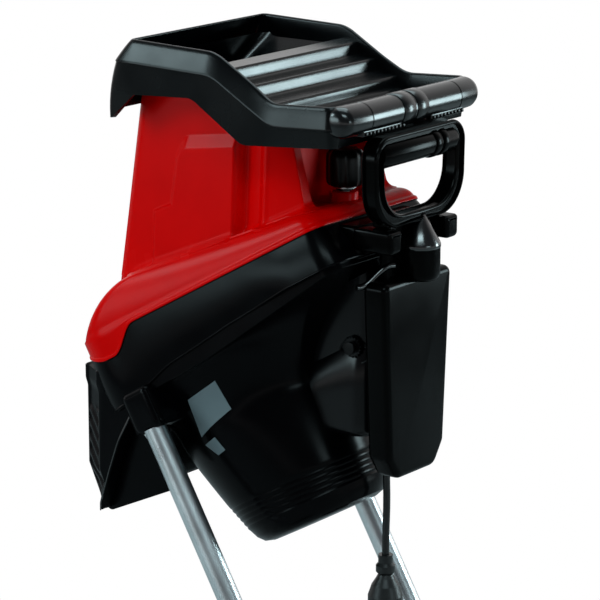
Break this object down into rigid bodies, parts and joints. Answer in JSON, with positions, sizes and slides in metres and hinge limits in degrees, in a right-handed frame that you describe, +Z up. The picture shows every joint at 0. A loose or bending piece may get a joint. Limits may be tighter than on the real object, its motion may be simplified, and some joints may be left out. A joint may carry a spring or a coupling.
{
  "type": "electric garden shredder",
  "caption": "Electric garden shredder on a wheeled tube frame: hinged red cover with feed hopper, tilted knife disc and motor, locking knob, hanging push stick.",
  "frame": {"origin": "on the floor under the middle of the machine's footprint", "axes": "+Z up, +Y to the rear where the user stands, +X to the machine's left side"},
  "size_m": [0.403, 0.478, 0.925],
  "materials": {
    "casing_black": "moulded, half gloss",
    "casing_red": "moulded, gloss",
    "hopper_grey": "moulded, half gloss",
    "stick_black": "moulded, half gloss",
    "knob_black": "moulded, half gloss",
    "leg_tube": "silver lacquer",
    "foot_black": "moulded, matte",
    "wheel_plastic": "moulded, matte",
    "tyre_rubber": "moulded tread",
    "zinc_steel": "zinc plated",
    "knife_steel": "ground",
    "core_iron": "stacked sheet",
    "copper": "enamelled wire and bars",
    "carbon": "pressed",
    "fan_plastic": "moulded, matte",
    "button_green": "moulded, gloss",
    "button_red": "moulded, gloss",
    "button_black": "moulded, serrated",
    "cord_rubber": "extruded, matte",
    "pin_nickel": "nickel plated"
  },
  "bodies": {
    "base": {"lower_casing": "casing_black", "discharge_hood": "casing_black", "motor_housing": "casing_black", "plunger_fork": "casing_black", "switch_box": "casing_black", "leg_left": "leg_tube", "leg_right": "leg_tube", "cross_tube": "leg_tube", "foot_caps": "foot_black", "axle_caps": "foot_black", "axle_spacers": "foot_black", "leg_plugs": "foot_black", "hood_screws": "zinc_steel", "leg_bolts": "zinc_steel", "axle": "zinc_steel", "hinge_pins": "zinc_steel", "bearing_upper": "knife_steel", "bearing_lower": "knife_steel", "stator": "core_iron", "field_coils": "copper", "brushes": "carbon", "safety_switch": "fan_plastic", "cable_bushing": "cord_rubber", "cord": "cord_rubber", "plug": "cord_rubber", "plug_pins": "pin_nickel"},
    "lid": {"upper_casing": "casing_red", "feed_tower": "casing_red", "hopper": "hopper_grey", "hopper_screws": "zinc_steel", "carry_handle": "hopper_grey", "handle_rings": "hopper_grey", "handle_clip": "hopper_grey"},
    "knob_washer": {"spindle_washer": "zinc_steel"},
    "knob": {"knob": "knob_black", "spindle": "zinc_steel"},
    "pin": {"safety_pin": "zinc_steel"},
    "rotor": {"rotor_shaft": "knife_steel", "armature": "core_iron", "commutator": "copper", "cooling_fan": "fan_plastic", "knife_disc": "knife_steel", "knives": "knife_steel", "knife_screws": "zinc_steel", "disc_nut": "zinc_steel"},
    "wheel_left": {"hub_left": "wheel_plastic", "tyre_left": "tyre_rubber"},
    "wheel_right": {"hub_right": "wheel_plastic", "tyre_right": "tyre_rubber"},
    "push_stick": {"plunger_handle": "stick_black", "plunger_paddle": "stick_black"},
    "on_key": {"on_button": "button_green"},
    "off_key": {"off_button": "button_red"},
    "reset_key": {"reset_button": "button_black"}
  },
  "joints": [
    {"name": "lid_hinge", "type": "hinge", "parent": "base", "child": "lid", "pos_m": [0, -0.20246, 0.54875], "axis": [1, 0, 0], "range_deg": [0, 60]},
    {"name": "spindle_lift", "type": "slide", "parent": "lid", "child": "knob_washer", "axis": [0, 0, 1], "range_m": [0, 0.008]},
    {"name": "knob_turn", "type": "hinge", "parent": "knob_washer", "child": "knob", "pos_m": [0, 0.054, 0.79], "axis": [0, 0, 1], "range_deg": [0, 1440]},
    {"name": "pin_lift", "type": "slide", "parent": "base", "child": "pin", "axis": [0, 0, 1], "range_m": [0, 0.003]},
    {"name": "rotor_spin", "type": "hinge", "parent": "base", "child": "rotor", "pos_m": [0, -0.116, 0.631], "axis": [0, -0.5, 0.866], "continuous": true},
    {"name": "wheel_left_spin", "type": "hinge", "parent": "base", "child": "wheel_left", "pos_m": [0.1735, 0.149, 0.09], "axis": [1, 0, 0], "continuous": true},
    {"name": "wheel_right_spin", "type": "hinge", "parent": "base", "child": "wheel_right", "pos_m": [-0.1735, 0.149, 0.09], "axis": [1, 0, 0], "continuous": true},
    {"name": "stick_pull", "type": "slide", "parent": "base", "child": "push_stick", "axis": [0, 1, 0], "range_m": [0, 0.15]},
    {"name": "on_press", "type": "slide", "parent": "base", "child": "on_key", "axis": [0, -1, 0], "range_m": [0, 0.003], "stiffness_N_per_m": 500, "springref_m": -0.001},
    {"name": "off_press", "type": "slide", "parent": "base", "child": "off_key", "axis": [0, -1, 0], "range_m": [0, 0.003], "stiffness_N_per_m": 500, "springref_m": -0.001},
    {"name": "reset_press", "type": "slide", "parent": "base", "child": "reset_key", "axis": [-1, 0, 0], "range_m": [0, 0.0025], "stiffness_N_per_m": 500, "springref_m": -0.001}
  ],
  "couplings": [
    {"joint": "knob_turn", "follows": "spindle_lift", "rad_per_m": 3141.6},
    {"joint": "pin_lift", "follows": "spindle_lift", "ratio": 0.375}
  ]
}
